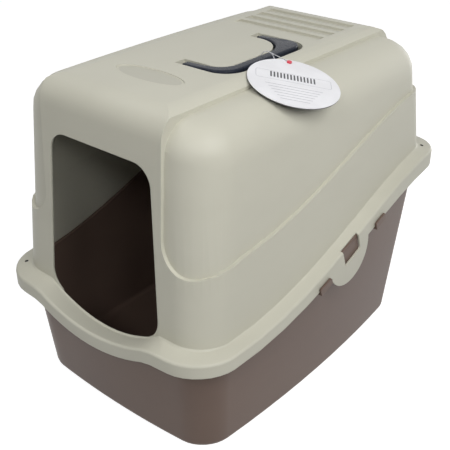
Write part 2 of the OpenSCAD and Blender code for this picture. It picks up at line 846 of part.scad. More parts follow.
// Inner and outer edge of the bail in plan, from the front arm round to the rear arm
function bail_edges() =
    let (x1 = pivot_x + handle_reach, x0 = x1 - grip_width)
    let (yo = (handle_span + arm_width) / 2, yi = (handle_span - arm_width) / 2)
    let (xo = x1 - handle_corner_r, xi = x0 - handle_inner_r)
    let (half = concat(
        [for (s = steps(0, 1, 7)) [[mix(pivot_x - 2, xi, s), -yi], [mix(pivot_x - 2, xo, s), -yo]]],
        [
            for (a = [-75 : 15 : 0]) [
                on_arc(xi, -yi + handle_inner_r, handle_inner_r, a),
                on_arc(xo, -yo + handle_corner_r, handle_corner_r, a)
            ]
        ]
    ))
    concat(half, [for (i = [len(half) - 1 : -1 : 0]) [[half[i][0][0], -half[i][0][1]], [half[i][1][0], -half[i][1][1]]]]);

// Rounded section between the two edges
function bail_section(edges) =
    let (dip = min(max((edges[1][0] - pivot_x) / arm_dip, 0), 1))
    let (z = mix(pivot_z + 1.5, grip_z, dip * dip * (3 - 2 * dip)))
    [
        for (k = [15 : -1 : 0])
            let (c = cos(22.5 * k + 11.25), w = sin(22.5 * k + 11.25))
            let (u = 0.5 + 0.5 * sign(c) * pow(abs(c), 0.5))
            [
                mix(edges[0][0], edges[1][0], u),
                handle_y + mix(edges[0][1], edges[1][1], u),
                z + handle_thick / 2 * sign(w) * pow(abs(w), 0.5)
            ]
    ];

module carry_handle() {
    color(handle_colour)
        union() {
            loft([for (edges = bail_edges()) bail_section(edges)]);
            at_pivots(-arm_width / 2 + 0.3)
                cylinder(h = arm_width - 0.6, r = knuckle_r, $fn = arc_fn);
            at_pivots(0)
                cylinder(h = arm_width / 2 + pin_length, r = pin_r, $fn = arc_fn);
        }
}

// ---- Hang tag ----

// The tag lies on the roof's rounded edge, where the roof's slope is its own
rest_x = crown_half_w + crown_r * sin(tag_tilt);
rest_z = roof_z - crown_r * (1 - cos(tag_tilt));

// Places its children in the tag's plane, h above the roof's edge, at the tag's middle
module on_tag(h) {
    translate([rest_x, tag_y, rest_z])
        rotate([0, tag_tilt, 0])
            translate([(tag_x - rest_x) / cos(tag_tilt), 0, h])
                children();
}
function tag_point(away, h) =
    let (u = (tag_x - rest_x) / cos(tag_tilt) + away * cos(tag_hole_angle))
    [
        rest_x + u * cos(tag_tilt) + h * sin(tag_tilt),
        tag_y + away * sin(tag_hole_angle),
        rest_z - u * sin(tag_tilt) + h * cos(tag_tilt)
    ];
module rod(from, to, r) {
    v = to - from;
    translate(from)
        rotate([0, acos(v[2] / norm(v)), atan2(v[1], v[0])])
            cylinder(h = norm(v), r = r, $fn = 16);
}
module at_tag_hole() {
    rotate([0, 0, tag_hole_angle])
        translate([tag_d / 2 - tag_hole_inset, 0, 0])
            children();
}

module tag_disc(thick) {
    difference() {
        cylinder(h = thick, d = tag_d, $fn = 96);
        translate([0, 0, -1])
            at_tag_hole()
                cylinder(h = thick + 2, r = tag_hole_r, $fn = arc_fn);
    }
}

module hang_tag() {
    color(tag_colour)
        on_tag(tag_gap + leaf_thick + leaf_gap)
            tag_disc(tag_thick);
}

module tag_leaf() {
    color(leaf_colour)
        on_tag(tag_gap)
            tag_disc(leaf_thick);
}

// Thread looped round the grip, with a strand over the card, a stem through its hole and two buttons
module tag_loop() {
    grip_x = pivot_x + handle_reach - grip_width / 2;
    corner = pow(pow(grip_width / 2, 4) + pow(handle_thick / 2, 4), 0.25);
    loop_r = corner + loop_gap + thread_r;
    stem_low = tag_gap - leaf_gap - foot_thick;
    button_low = tag_gap + leaf_thick + leaf_gap + tag_thick + 0.3;
    color(thread_colour)
        union() {
            translate([grip_x, loop_y, grip_z])
                rotate([90, 0, 0])
                    rotate_extrude($fn = arc_fn)
                        translate([loop_r, 0])
                            circle(thread_r, $fn = 16);
            on_tag(0)
                at_tag_hole() {
                    translate([0, 0, stem_low])
                        cylinder(h = button_low + 1 - stem_low, r = stem_r, $fn = 24);
                    translate([0, 0, stem_low])
                        cylinder(h = foot_thick, r = tag_hole_r + 0.6, $fn = 24);
                    translate([0, 0, button_low])
                        cylinder(h = button_thick, r = button_r, $fn = arc_fn);
                }
            rod(
                [grip_x + loop_r * cos(70), loop_y, grip_z + loop_r * sin(70)],
                tag_point(tag_d / 2 - tag_hole_inset, button_low + button_thick / 2), thread_r
            );
        }
}

pan();
hood();
carry_handle();
hang_tag();
tag_leaf();
tag_loop();
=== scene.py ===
"""Looks of a hooded cat litter box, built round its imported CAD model.

The CAD nodes give the places and nearly all shapes, and each is refined into one smooth piece. The
hood's roof details, the doorway's corners and the bail are shaped anew here. Each finish is a
procedural material, and a white studio holds the lamps and the camera.
"""

import logging
import math
from collections.abc import Callable
from dataclasses import dataclass
from enum import Enum
from typing import Any

import bmesh
import bpy
from bmesh.types import BMesh, BMFace, BMVert
from bpy.types import Material, NodeSocket, Object, World
from mathutils import Matrix, Vector


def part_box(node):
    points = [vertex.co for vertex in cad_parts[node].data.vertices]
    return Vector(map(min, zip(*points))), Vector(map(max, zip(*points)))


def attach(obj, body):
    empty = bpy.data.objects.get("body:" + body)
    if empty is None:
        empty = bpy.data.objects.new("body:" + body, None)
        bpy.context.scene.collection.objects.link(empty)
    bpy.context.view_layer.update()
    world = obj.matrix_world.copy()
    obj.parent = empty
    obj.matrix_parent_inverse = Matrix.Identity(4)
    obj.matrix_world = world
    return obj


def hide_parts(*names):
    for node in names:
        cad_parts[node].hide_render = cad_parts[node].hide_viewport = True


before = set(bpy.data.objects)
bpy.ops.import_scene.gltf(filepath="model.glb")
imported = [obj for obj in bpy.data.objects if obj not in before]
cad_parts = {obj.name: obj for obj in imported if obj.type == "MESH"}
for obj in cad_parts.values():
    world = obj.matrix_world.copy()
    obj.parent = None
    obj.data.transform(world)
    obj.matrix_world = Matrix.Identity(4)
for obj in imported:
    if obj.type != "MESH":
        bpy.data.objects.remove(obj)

logging.basicConfig(level=logging.INFO, format="%(levelname)s %(message)s")
log = logging.getLogger("litter_box")

MM = 0.001
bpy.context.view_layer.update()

Pair = tuple[float, float]
Point = tuple[float, float, float]
Colour = tuple[float, float, float, float]
BLACK: Colour = (0.0, 0.0, 0.0, 1.0)
WHITE: Colour = (1.0, 1.0, 1.0, 1.0)


def linear(red: int, green: int, blue: int) -> Colour:
    """Turns a display colour of 0 to 255 into Blender's linear colour.

    Args:
        red: Display red, 0 to 255.
        green: Display green, 0 to 255.
        blue: Display blue, 0 to 255.

    Returns:
        The linear colour with an alpha of 1.
    """
    shares = (channel / 255 for channel in (red, green, blue))
    curve = (s / 12.92 if s <= 0.04045 else ((s + 0.055) / 1.055) ** 2.4 for s in shares)
    return (*curve, 1.0)


def shaded(colour: Colour, share: float) -> Colour:
    """Darkens a linear colour to a share of itself."""
    return (*(share * channel for channel in colour[:3]), 1.0)


# ---- Shader maths ----


def operator(operation: str, flipped: bool = False) -> Callable:
    """Makes a method that adds one Math node on a term and any other values.

    Args:
        operation: The node's operation.
        flipped: Whether the term comes after the other values, as in 1 - mask.

    Returns:
        The method.
    """

    def method(term: "Term", *others: Any) -> "Term":
        """Adds the Math node."""
        values = (*others, term) if flipped else (term, *others)
        settings = {"operation": operation}
        return term.graph.node("ShaderNodeMath", settings, dict(enumerate(values)))

    return method


class Term:
    """A node's output socket that can be used in a Python expression."""

    __add__ = operator("ADD")
    __radd__ = operator("ADD", flipped=True)
    __sub__ = operator("SUBTRACT")
    __rsub__ = operator("SUBTRACT", flipped=True)
    __mul__ = operator("MULTIPLY")
    __rmul__ = operator("MULTIPLY", flipped=True)
    __truediv__ = operator("DIVIDE")
    __lt__ = operator("LESS_THAN")
    __gt__ = operator("GREATER_THAN")
    __abs__ = operator("ABSOLUTE")
    at_least = operator("MAXIMUM")
    fraction = operator("FRACT")
    root = operator("SQRT")

    def __init__(self, graph: "Graph", socket: NodeSocket | None) -> None:
        """Wraps a socket of a graph."""
        self.graph = graph
        self.socket = socket

    def ramp(self, low: float, high: float, to_low: float = 0.0, to_high: float = 1.0) -> "Term":
        """Maps a range on to another with soft ends.

        Args:
            low: The value that gives to_low.
            high: The value that gives to_high.
            to_low: The result at low.
            to_high: The result at high.

        Returns:
            The mapped term.
        """
        settings = {"interpolation_type": "SMOOTHSTEP"}
        inputs = {"Value": self, 1: low, 2: high, 3: to_low, 4: to_high}
        return self.graph.node("ShaderNodeMapRange", settings, inputs)


class Graph:
    """The node tree of a material or a world, with one method that adds every node."""

    def __init__(self, owner: Material | World) -> None:
        """Empties the node tree of a material or a world."""
        owner.use_nodes = True
        self.owner = owner
        self.tree = owner.node_tree
        self.tree.nodes.clear()

    @classmethod
    def of_material(cls, name: str) -> "Graph":
        """Makes a material and gives its empty graph."""
        return cls(bpy.data.materials.new(name))

    @staticmethod
    def _find(sockets: Any, key: str | int) -> NodeSocket:
        """Finds a socket by its number, identifier or name."""
        if isinstance(key, int):
            return sockets[key]
        return next(s for s in sockets if key in (s.identifier, s.name))

    def node(
        self,
        kind: str,
        settings: dict[str, Any] | None = None,
        inputs: dict[str | int, Any] | None = None,
        output: str | int = 0,
    ) -> Term:
        """Adds a node, sets it, and then fills its sockets.

        Args:
            kind: The node's type.
            settings: The node's own settings, set before its sockets.
            inputs: A value or a term for each socket that is not left at its default.
            output: The output that the result stands for.

        Returns:
            The node's output as a term.
        """
        made = self.tree.nodes.new(kind)
        for name, value in (settings or {}).items():
            setattr(made, name, value)
        for key, value in (inputs or {}).items():
            socket = self._find(made.inputs, key)
            if isinstance(value, Term):
                self.tree.links.new(value.socket, socket)
            else:
                socket.default_value = value
        if not made.outputs:
            return Term(self, None)
        return Term(self, self._find(made.outputs, output))

    def place(self) -> Term:
        """Gives the place on the piece, in metres in the object's own frame."""
        return self.node("ShaderNodeTexCoord", output="Object")

    def noise(self, size: float, detail: float = 2.0, stretch: Point = (1, 1, 1)) -> Term:
        """Makes a noise over the piece.

        Args:
            size: The size of one patch, in metres.
            detail: How many finer layers lie on it.
            stretch: How often the pattern repeats along each axis.

        Returns:
            The noise, from 0 to 1.
        """
        scaled = self.node("ShaderNodeMapping", inputs={"Vector": self.place(), "Scale": stretch})
        inputs = {"Vector": scaled, "Scale": 1 / size, "Detail": detail, "Roughness": 0.55}
        return self.node("ShaderNodeTexNoise", inputs=inputs)

    def vector(self, operation: str, first: Any, second: Any, output: str = "Vector") -> Term:
        """Adds a Vector Math node on two values."""
        settings = {"operation": operation}
        return self.node("ShaderNodeVectorMath", settings, {0: first, 1: second}, output)

    def along(self, direction: Vector, centre: Vector) -> Term:
        """Gives the distance along a direction from a centre, in metres."""
        offset = self.vector("SUBTRACT", self.place(), centre)
        return self.vector("DOT_PRODUCT", offset, direction, "Value")

    def mix(self, share: Term, first: Any, second: Any) -> Term:
        """Mixes two colours by a term's share."""
        settings = {"data_type": "RGBA"}
        inputs = {"Factor_Float": share, "A_Color": first, "B_Color": second}
        return self.node("ShaderNodeMix", settings, inputs, "Result_Color")

    def bump(self, height: Term, depth: float, round_edge: float = 0.0) -> Term:
        """Turns a height from 0 to 1 into a normal.

        Args:
            height: The height term.
            depth: The real depth of the relief, in metres.
            round_edge: The radius over which hard edges are softened, in metres.

        Returns:
            The normal.
        """
        inputs = {"Height": height, "Distance": depth, "Strength": 1.0}
        if round_edge > 0:
            inputs["Normal"] = self.node("ShaderNodeBevel", {"samples": 8}, {"Radius": round_edge})
        return self.node("ShaderNodeBump", inputs=inputs)

    def surface(self, colour: Any, roughness: Any, more: dict[str, Any]) -> Term:
        """Adds a Principled shader with its colour, its roughness and more inputs."""
        inputs = {"Base Color": colour, "Roughness": roughness} | more
        return self.node("ShaderNodeBsdfPrincipled", inputs=inputs)

    def finish(self, shader: Term) -> Material:
        """Ends the graph in its output and gives the material."""
        self.node("ShaderNodeOutputMaterial", inputs={"Surface": shader})
        return self.owner


# ---- Finishes ----


@dataclass(frozen=True)
class Patch:
    """A zone of a moulding whose colour is darkened: the oval pad's darker tone, or painted shade
    inside a small hole or a groove.

    Attributes:
        centre: The zone's middle.
        half: The half lengths of the ellipsoid or box that bounds it.
        tone: The share of the colour that is left.
        soft: The share of the zone over which it fades.
        boxed: Whether it is a box and not an ellipsoid.
    """

    centre: Point
    half: Point
    tone: float
    soft: float = 0.03
    boxed: bool = False

    def mask(self, graph: Graph) -> Term:
        """Gives 1 inside the zone and 0 outside."""
        offset = graph.vector("SUBTRACT", graph.place(), self.centre)
        scaled = graph.vector("DIVIDE", offset, self.half)
        away = graph.vector("DISTANCE", scaled, (0, 0, 0), "Value")
        if self.boxed:
            parts = [
                abs(graph.node("ShaderNodeSeparateXYZ", inputs={0: scaled}, output=axis))
                for axis in ("X", "Y", "Z")
            ]
            away = parts[0].at_least(parts[1]).at_least(parts[2])
        return away.ramp(1 - self.soft, 1.0, 1.0, 0.0)


@dataclass(frozen=True)
class MouldedPlastic:
    """Injection-moulded polypropylene with a fine satin grain.

    Attributes:
        name: The material's name.
        colour: The plastic's linear colour.
        deep: The colour of its darker flow marks.
        roughness: The mean roughness.
        grain: The size of the mould's grain, in metres.
        grain_depth: The depth of that grain, in metres.
        edge: The radius over which the moulding's edges are softened, in metres.
        flow: The size of its broad flow marks, in metres.
        scuff: The size of its scuffs, in metres.
        specular: How strongly it reflects, where 0.5 is usual for plastic.
        patches: Its darkened zones, such as the painted shade inside a small hole.
    """

    name: str
    colour: Colour
    deep: Colour
    roughness: float
    grain: float = 1.1 * MM
    grain_depth: float = 0.02 * MM
    edge: float = 0.9 * MM
    flow: float = 120 * MM
    scuff: float = 4 * MM
    specular: float = 0.35
    patches: tuple[Patch, ...] = ()

    def build(self) -> Material:
        """Makes the material: broad flow marks, satin grain, faint scuffs and zones of painted
        shade or darker tone.
        """
        graph = Graph.of_material(self.name)
        flow = graph.noise(self.flow, 3.0, (1, 0.6, 1.4))
        grain = graph.noise(self.grain, 2.0)
        scuffs = graph.noise(self.scuff, 3.0, (0.25, 1, 6)).ramp(0.62, 0.78)
        colour = graph.mix(flow.ramp(0.3, 0.7), self.deep, self.colour)
        # the patches darken the colour, as painted shade inside a hole or a groove, or as the
        # pad's darker tone
        for patch in self.patches:
            colour = graph.mix(patch.mask(graph), colour, shaded(self.colour, patch.tone))
        roughness = self.roughness + 0.08 * (flow - 0.5) + 0.1 * (grain - 0.5) - 0.05 * scuffs
        normal = graph.bump(grain + 0.3 * scuffs, self.grain_depth, self.edge)
        more = {"Normal": normal, "Specular IOR Level": self.specular}
        return graph.finish(graph.surface(colour, roughness, more))


@dataclass(frozen=True)
class PittedGloss:
    """Glossy dark plastic whose surface is slightly pitted, so that its highlights break up.

    Attributes:
        name: The material's name.
        colour: The plastic's linear colour.
        worn: The paler colour of its rubbed patches.
        roughness: The roughness of the gloss.
        specular: How strongly it reflects, where 0.5 is usual for plastic.
        peel: The size of its orange peel, in metres.
        pit: The size of its pits, in metres.
        rub: The size of its rubbed patches, in metres.
        relief: The depth of the peel, in metres.
        edge: The radius over which its edges are softened, in metres.
    """

    name: str
    colour: Colour
    worn: Colour
    roughness: float = 0.26
    specular: float = 0.09
    peel: float = 6 * MM
    pit: float = 1.6 * MM
    rub: float = 18 * MM
    relief: float = 0.14 * MM
    edge: float = 1.2 * MM

    def build(self) -> Material:
        """Makes the material: orange peel, pits and rubbed patches."""
        graph = Graph.of_material(self.name)
        peel = graph.noise(self.peel, 2.0)
        pits = graph.noise(self.pit, 1.0).ramp(0.58, 0.7)
        rubbed = graph.noise(self.rub, 3.0).ramp(0.5, 0.72)
        colour = graph.mix(rubbed * 0.6, self.colour, self.worn)
        roughness = self.roughness + 0.16 * rubbed + 0.1 * pits
        normal = graph.bump(peel - 0.25 * pits, self.relief, self.edge)
        more = {"Normal": normal, "Specular IOR Level": self.specular}
        return graph.finish(graph.surface(colour, roughness, more))


@dataclass(frozen=True)
class Card:
    """Coated card, plain or printed with a generic layout of bars and ruled lines.

    Attributes:
        name: The material's name.
        colour: The card's linear colour.
        ink: The colour of its print.
        faint: The colour of its finest print.
        roughness: The roughness of its coating.
        cloud_tone: The share of the colour that is left in its darker clouds.
        cloud: The size of those clouds, in metres.
        fibre: The size of its fibres, in metres.
        relief: The depth of the fibres, in metres.
    """

    name: str
    colour: Colour
    ink: Colour = linear(60, 60, 66)
    faint: Colour = linear(176, 176, 182)
    roughness: float = 0.38
    cloud_tone: float = 0.94
    cloud: float = 30 * MM
    fibre: float = 0.8 * MM
    relief: float = 0.01 * MM

    def build(self, layout: "PrintLayout | None" = None) -> Material:
        """Makes the material.

        Args:
            layout: The print on the card, or None for plain card.

        Returns:
            The material.
        """
        graph = Graph.of_material(self.name)
        fibres = graph.noise(self.fibre, 3.0)
        cloud = graph.noise(self.cloud, 2.0)
        cloudy = shaded(self.colour, self.cloud_tone)
        colour = graph.mix(cloud.ramp(0.35, 0.65), cloudy, self.colour)
        if layout is not None:
            dark, pale = layout.masks(graph)
            colour = graph.mix(pale, colour, self.faint)
            colour = graph.mix(dark, colour, self.ink)
        roughness = self.roughness + 0.1 * (fibres - 0.5)
        normal = graph.bump(fibres, self.relief)
        return graph.finish(graph.surface(colour, roughness, {"Normal": normal}))


@dataclass(frozen=True)
class PrintLayout:
    """A generic print in the card's own plane: a rounded border, even bars and ruled lines.

    Attributes:
        centre: The middle of the card's face.
        across: The card's left to right.
        upright: The card's bottom to top, towards its hole.
        facing: The printed side's outward direction.
        line: The half width of a fine line.
        frame_half_w: Half the width of the border's outline.
        frame_half_h: Half its height.
        frame_up: How far its middle lies above the card's.
        frame_r: The radius of its corners.
        bar_half_w: Half the width of the row of bars.
        bar_half_h: Half its height.
        bar_up: How far its middle lies above the card's.
        bar_pitch: The distance from bar to bar.
        rule_top: The height of the first ruled line.
        rule_foot: The height of the last ruled line.
        rule_pitch: The distance from line to line.
        rule_share: The share of that distance that is printed.
        rule_half_w: Half the length of the first ruled line.
        rule_taper: How fast the lines grow shorter, for each length downwards.
        face_depth: How far below the face the print still reaches.
    """

    centre: Vector
    across: Vector
    upright: Vector
    facing: Vector
    line: float = 0.25 * MM
    frame_half_w: float = 44 * MM
    frame_half_h: float = 9.6 * MM
    frame_up: float = 9.4 * MM
    frame_r: float = 3 * MM
    bar_half_w: float = 27.3 * MM
    bar_half_h: float = 6.2 * MM
    bar_up: float = 11.4 * MM
    bar_pitch: float = 3.9 * MM
    rule_top: float = -5.5 * MM
    rule_foot: float = -41 * MM
    rule_pitch: float = 5.9 * MM
    rule_share: float = 0.16
    rule_half_w: float = 36 * MM
    rule_taper: float = 0.55
    face_depth: float = 0.2 * MM

    def masks(self, graph: Graph) -> tuple[Term, Term]:
        """Makes the print's masks.

        Args:
            graph: The card's graph.

        Returns:
            The mask of the dark print and the mask of the faint print.
        """
        x = graph.along(self.across, self.centre)
        y = graph.along(self.upright, self.centre)
        front = graph.along(self.facing, self.centre) > -self.face_depth
        # the distance outside the border's inner corners gives its rounded outline
        out_x = (abs(x) - (self.frame_half_w - self.frame_r)).at_least(0.0)
        out_y = (abs(y - self.frame_up) - (self.frame_half_h - self.frame_r)).at_least(0.0)
        outline = abs((out_x * out_x + out_y * out_y).root() - self.frame_r) < self.line
        bars = (x / self.bar_pitch).fraction() < 0.5
        bars = bars * (abs(x) < self.bar_half_w) * (abs(y - self.bar_up) < self.bar_half_h)
        rules = ((y - self.rule_foot) / self.rule_pitch).fraction() < self.rule_share
        rules = rules * (y < self.rule_top) * (y > self.rule_foot)
        # the ruled lines grow shorter towards the card's round foot
        reach = self.rule_half_w + (y - self.rule_top) * self.rule_taper
        rules = rules * (abs(x) < reach)
        return bars * front, (outline + rules) * front


@dataclass(frozen=True)
class ClearNylon:
    """Clear nylon thread that ends in a red button.

    Attributes:
        name: The material's name.
        button: The middle of the button.
        button_r: The radius within which the piece is red.
        clear: The thread's linear colour.
        reds: The button's darker and paler linear colour.
        ripple: The size of the thread's ripples, in metres.
        relief: Their depth, in metres.
    """

    name: str
    button: Vector
    button_r: float = 3.2 * MM
    clear: Colour = linear(226, 226, 230)
    reds: tuple[Colour, Colour] = (linear(206, 40, 62), linear(226, 62, 84))
    ripple: float = 2 * MM
    relief: float = 0.02 * MM

    def build(self) -> Material:
        """Makes the material: a glassy thread, and red where the button is."""
        graph = Graph.of_material(self.name)
        ripple = graph.noise(self.ripple, 2.0)
        normal = graph.bump(ripple, self.relief)
        glassy = {"Normal": normal, "Transmission Weight": 0.55, "IOR": 1.53}
        clear = graph.surface(self.clear, 0.16 + 0.1 * ripple, glassy)
        tone = graph.mix(ripple, *self.reds)
        red = graph.surface(tone, 0.3 + 0.1 * ripple, {"Normal": normal})
        away = graph.vector("DISTANCE", graph.place(), self.button, "Value")
        shaders = {0: away < self.button_r, 1: clear, 2: red}
        return graph.finish(graph.node("ShaderNodeMixShader", inputs=shaders))


# ---- Pieces ----

PIN_SEGMENTS = 40


class Slot(Enum):
    """The record's material slots."""

    PAN = "pan_plastic"
    HOOD = "hood_plastic"
    HANDLE = "handle_plastic"
    CARD = "tag_card"
    LEAF = "tag_leaf_card"
    NYLON = "nylon"


def new_object(name: str, shape: BMesh) -> Object:
    """Puts a shape into a new object of the scene and frees the shape."""
    made = bpy.data.objects.new(name, bpy.data.meshes.new(name))
    shape.to_mesh(made.data)
    shape.free()
    bpy.context.scene.collection.objects.link(made)
    return made


@dataclass(frozen=True)
class Moulding:
    """A smooth piece that stands for one CAD node.

    Attributes:
        node: The CAD node.
        name: The piece's name.
        body: The body that it rides on.
        slot: The material slot that it stands for; not used.
        crease: The angle above which an edge stays hard, in degrees.
        merge: The distance within which loose corners are joined.
    """

    node: str
    name: str
    body: str
    slot: Slot
    crease: float = 32.0
    merge: float = 0.002 * MM

    def joined(self) -> BMesh:
        """Copies the node's mesh and joins its loose triangles."""
        shape = bmesh.new()
        shape.from_mesh(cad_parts[self.node].data)
        bmesh.ops.remove_doubles(shape, verts=shape.verts, dist=self.merge)
        bmesh.ops.dissolve_degenerate(shape, edges=shape.edges, dist=self.merge)
        return shape

    def smooth(self) -> BMesh:
        """Makes the piece's shape, smooth but for its hard edges."""
        shape, limit = self.joined(), math.radians(self.crease)
        for face in shape.faces:
            face.smooth = True
        for edge in shape.edges:
            edge.smooth = edge.is_manifold and edge.calc_face_angle() < limit
        return shape

    def build(self, material: Material) -> Object:
        """Makes the piece, dresses it and puts it on its body.

        Args:
            material: The piece's finish.

        Returns:
            The piece.
        """
        piece = new_object(self.name, self.smooth())
        piece.data.materials.append(material)
        shading = piece.modifiers.new("even_shading", "WEIGHTED_NORMAL")
        shading.keep_sharp = True
        shading.mode = "FACE_AREA_WITH_ANGLE"
        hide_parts(self.node)
        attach(piece, self.body)
        log.info("%s: %d faces on %s", self.name, len(piece.data.polygons), self.body)
        return piece


@dataclass(frozen=True)
class BailOutline:
    """The outline of a bail: two arms and a grip that joins them, open on the left.

    Each pair gives the inner and then the outer edge.

    Attributes:
        start_x: Where the arms end.
        grip: The X of the grip's edges.
        front: The Y of the front arm's edges.
        rear: The Y of the rear arm's edges.
        front_r: The radii of the front corner.
        rear_r: The radii of the rear corner.
        steps: How many lengths make an arm or a corner.
    """

    start_x: float
    grip: Pair
    front: Pair
    rear: Pair
    front_r: Pair
    rear_r: Pair
    steps: int = 12

    def edge(self, side: int) -> list[Vector]:
        """Follows one edge from the front arm's end to the rear arm's end.

        Args:
            side: 0 for the inner edge and 1 for the outer.

        Returns:
            The points of the edge.
        """
        x, front, rear = self.grip[side], self.front[side], self.rear[side]
        front_r, rear_r = self.front_r[side], self.rear_r[side]
        shares = [step / self.steps for step in range(self.steps)]
        near = Vector((x - front_r, front + front_r, 0))
        far = Vector((x - rear_r, rear - rear_r, 0))
        start, bend = Vector((self.start_x, front, 0)), Vector((near.x, front, 0))
        points = [start.lerp(bend, share) for share in shares]
        for centre, radius, turn in ((near, front_r, -90), (far, rear_r, 0)):
            for share in (*shares, 1.0):
                angle = math.radians(turn + 90 * share)
                points.append(centre + radius * Vector((math.cos(angle), math.sin(angle), 0)))
        end = Vector((self.start_x, rear, 0))
        return points + [points[-1].lerp(end, share) for share in (*shares[1:], 1.0)]

    def prism(self, shape: BMesh, low: float, high: float) -> None:
        """Adds the outline as a solid between two heights.

        Args:
            shape: The mesh that it goes into.
            low: The height of its underside.
            high: The height of its top.
        """
        rails = []
        for side in (0, 1):
            verts = [shape.verts.new((point.x, point.y, low)) for point in self.edge(side)]
            rails += [shape.edges.new(pair) for pair in zip(verts, verts[1:])]
        faces = bmesh.ops.bridge_loops(shape, edges=rails)["faces"]
        thicken(shape, faces, Vector((0, 0, high - low)))


def thicken(shape: BMesh, faces: list[BMFace], step: Vector) -> None:
    """Extrudes flat faces into a closed solid.

    Args:
        shape: The mesh that holds the faces.
        faces: The faces of one side.
        step: The way from that side to the other.
    """
    made = bmesh.ops.extrude_face_region(shape, geom=faces)["geom"]
    moved = [item for item in made if isinstance(item, BMVert)]
    bmesh.ops.translate(shape, verts=moved, vec=step)
    bmesh.ops.recalc_face_normals(shape, faces=shape.faces)


def block(shape: BMesh, low: Point, high: Point) -> None:
    """Adds a box between two corners."""
    middle, size = (Vector(low) + Vector(high)) / 2, Vector(high) - Vector(low)
    place = Matrix.Translation(middle) @ Matrix.Diagonal((*size, 1))
    bmesh.ops.create_cube(shape, size=1, matrix=place)


def add_pin(shape: BMesh, middle: Pair, front: float, rear: float, radius: float) -> None:
    """Adds a round pin that lies along Y.

    Args:
        shape: The mesh that it goes into.
        middle: The X and the height of its axis.
        front: The Y of its front end.
        rear: The Y of its rear end.
        radius: Its radius.
    """
    place = Matrix.Translation((middle[0], (front + rear) / 2, middle[1]))
    place = place @ Matrix.Rotation(math.radians(90), 4, "X")
    bmesh.ops.create_cone(
        shape, cap_ends=True, segments=PIN_SEGMENTS, radius1=radius, radius2=radius,
        depth=rear - front, matrix=place,
    )


